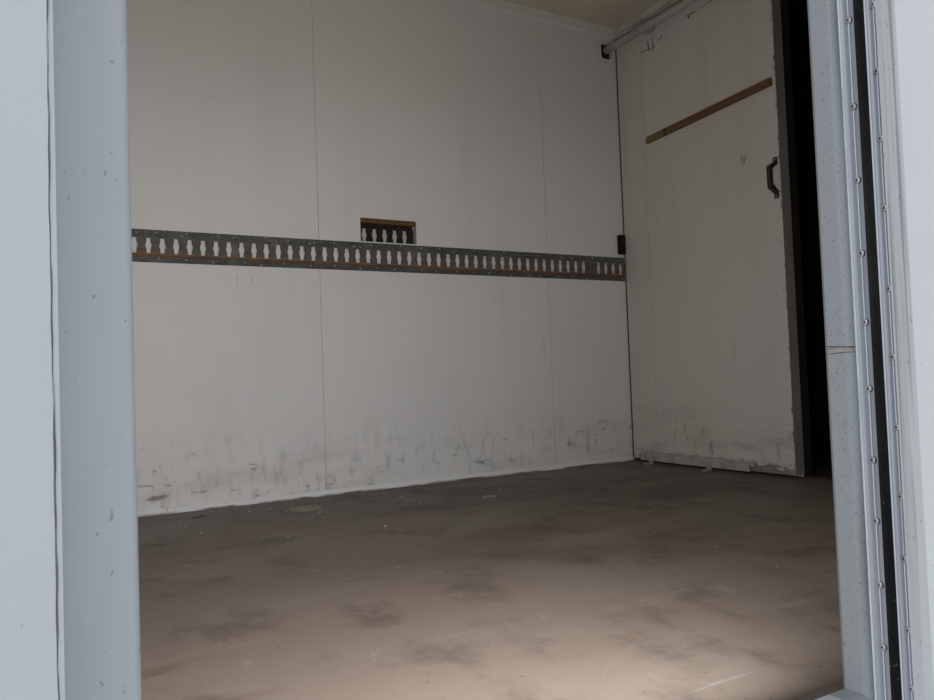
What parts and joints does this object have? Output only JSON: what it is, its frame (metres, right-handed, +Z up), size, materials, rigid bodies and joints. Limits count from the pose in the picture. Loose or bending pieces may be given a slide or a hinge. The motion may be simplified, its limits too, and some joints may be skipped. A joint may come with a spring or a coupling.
{
  "type": "box truck load body",
  "caption": "Insulated load body of a box truck with rear doors, an open side door, lashing rails and a front room behind a sliding door, on longsills for a chassis.",
  "frame": {"origin": "centre of the chassis bolt pattern, on the underside of the longsills", "axes": "+X to the front of the vehicle, +Y to its street side, the left as seen by the driver, +Z up"},
  "size_m": [6.479, 3.6814, 2.741],
  "materials": {
    "subframe_paint": "satin black paint with dust and light rust",
    "insulated_core": "coated underside sheet over foam",
    "floor_coating": "worn dark deck coating, gritty",
    "white_skin": "white coated sheet over foam",
    "aged_liner": "aged white coated sheet, scuffed low down",
    "mill_aluminium": "dull mill finish",
    "frame_steel": "grey-white paint over steel",
    "zinc_steel": "dull zinc plate",
    "black_rubber": "matt",
    "red_lens": "moulded lens",
    "amber_lens": "moulded lens",
    "jamb_plastic": "aged white plastic with dark specks",
    "cream_trim": "yellowed cream strip",
    "aged_zinc": "oxidised zinc with rust",
    "tube_steel": "dull bare tube",
    "socket_plastic": "black cup with a white rim",
    "door_core": "framed core with aged edges",
    "brown_wood": "weathered brown",
    "black_paint": "black paint, worn",
    "retainer_aluminium": "extruded, lightly oxidised"
  },
  "bodies": {
    "box": {"longsills": "subframe_paint", "crossmembers": "subframe_paint", "mounting_feet": "subframe_paint", "floor_panel": "insulated_core", "floor_deck": "floor_coating", "street_wall": "white_skin", "curb_wall": "white_skin", "front_wall": "white_skin", "roof_panel": "white_skin", "wall_liners": "aged_liner", "top_rails": "mill_aluminium", "bottom_rails": "mill_aluminium", "corner_posts": "mill_aluminium", "rear_frame": "frame_steel", "hinge_butts": "zinc_steel", "lock_keepers": "zinc_steel", "rubber_bumpers": "black_rubber", "tail_lamps": "red_lens", "marker_lamps": "amber_lens", "drip_rail": "mill_aluminium", "side_door_frame": "jamb_plastic", "partition_wall": "aged_liner", "cove_strips": "cream_trim", "skirting_strips": "cream_trim", "lashing_rails": "aged_zinc", "overhead_tube": "tube_steel", "tube_sockets": "socket_plastic", "floor_guide": "aged_zinc"},
    "sliding_door": {"sliding_door": "door_core", "sliding_door_skin": "aged_liner", "sliding_door_batten": "brown_wood", "sliding_door_pull": "black_paint", "sliding_door_hangers": "zinc_steel"},
    "side_door": {"side_door": "white_skin", "side_door_edging": "jamb_plastic", "side_door_retainers": "retainer_aluminium", "side_door_seal": "black_rubber", "side_door_hinges": "zinc_steel", "side_door_lock": "zinc_steel"},
    "rear_door_left": {"rear_door_left": "white_skin", "rear_seal_left": "black_rubber", "rear_hardware_left": "zinc_steel"},
    "rear_door_right": {"rear_door_right": "white_skin", "rear_seal_right": "black_rubber", "rear_hardware_right": "zinc_steel"}
  },
  "joints": [
    {"name": "sliding_door_slide", "type": "slide", "parent": "box", "child": "sliding_door", "axis": [0, -1, 0], "range_m": [0, 0.938]},
    {"name": "side_door_hinge", "type": "hinge", "parent": "box", "child": "side_door", "pos_m": [0.082, -1.3205, 1.28], "axis": [0, 0, 1], "range_deg": [-90, 90]},
    {"name": "rear_door_left_hinge", "type": "hinge", "parent": "box", "child": "rear_door_left", "pos_m": [-3.238, 1.3045, 1.46], "axis": [0, 0, -1], "range_deg": [0, 270]},
    {"name": "rear_door_right_hinge", "type": "hinge", "parent": "box", "child": "rear_door_right", "pos_m": [-3.238, -1.3045, 1.46], "axis": [0, 0, 1], "range_deg": [0, 270]}
  ]
}
